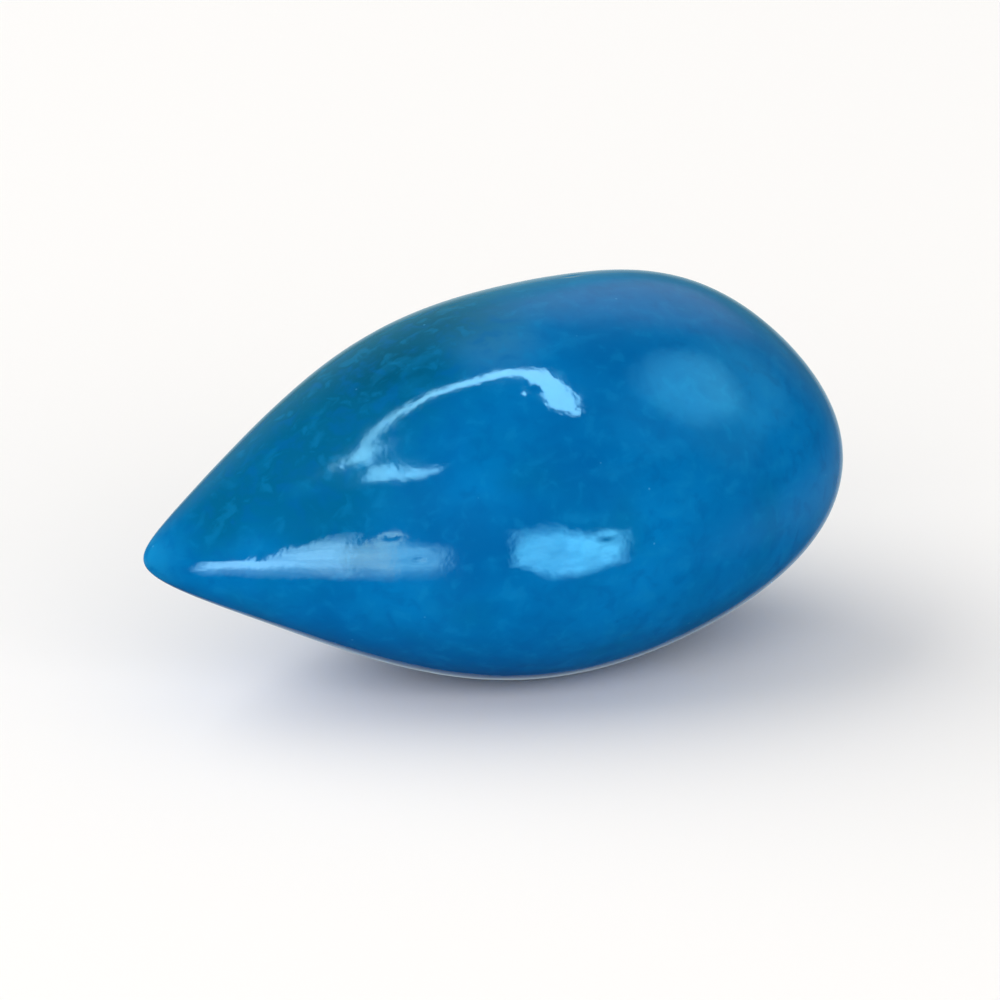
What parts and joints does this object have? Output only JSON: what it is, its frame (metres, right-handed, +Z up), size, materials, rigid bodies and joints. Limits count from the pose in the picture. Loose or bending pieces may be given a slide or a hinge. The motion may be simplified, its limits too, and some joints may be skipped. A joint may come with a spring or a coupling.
{
  "type": "candy-coated chocolate sunflower seed",
  "caption": "Blunt teardrop sweet with a hard, polished blue sugar shell, lying on a small flat spot on its belly.",
  "frame": {"origin": "bottom centre of the seed's box, on the plane that the seed lies on", "axes": "+X along the seed from its blunt tip to its round end, +Y across it, +Z up"},
  "size_m": [0.014, 0.0082, 0.0069],
  "materials": {
    "sugar_shell": "hard polished sugar shell, bright blue, glossy with a faint mottle"
  },
  "bodies": {
    "root": {"candy_seed": "sugar_shell"}
  },
  "joints": []
}
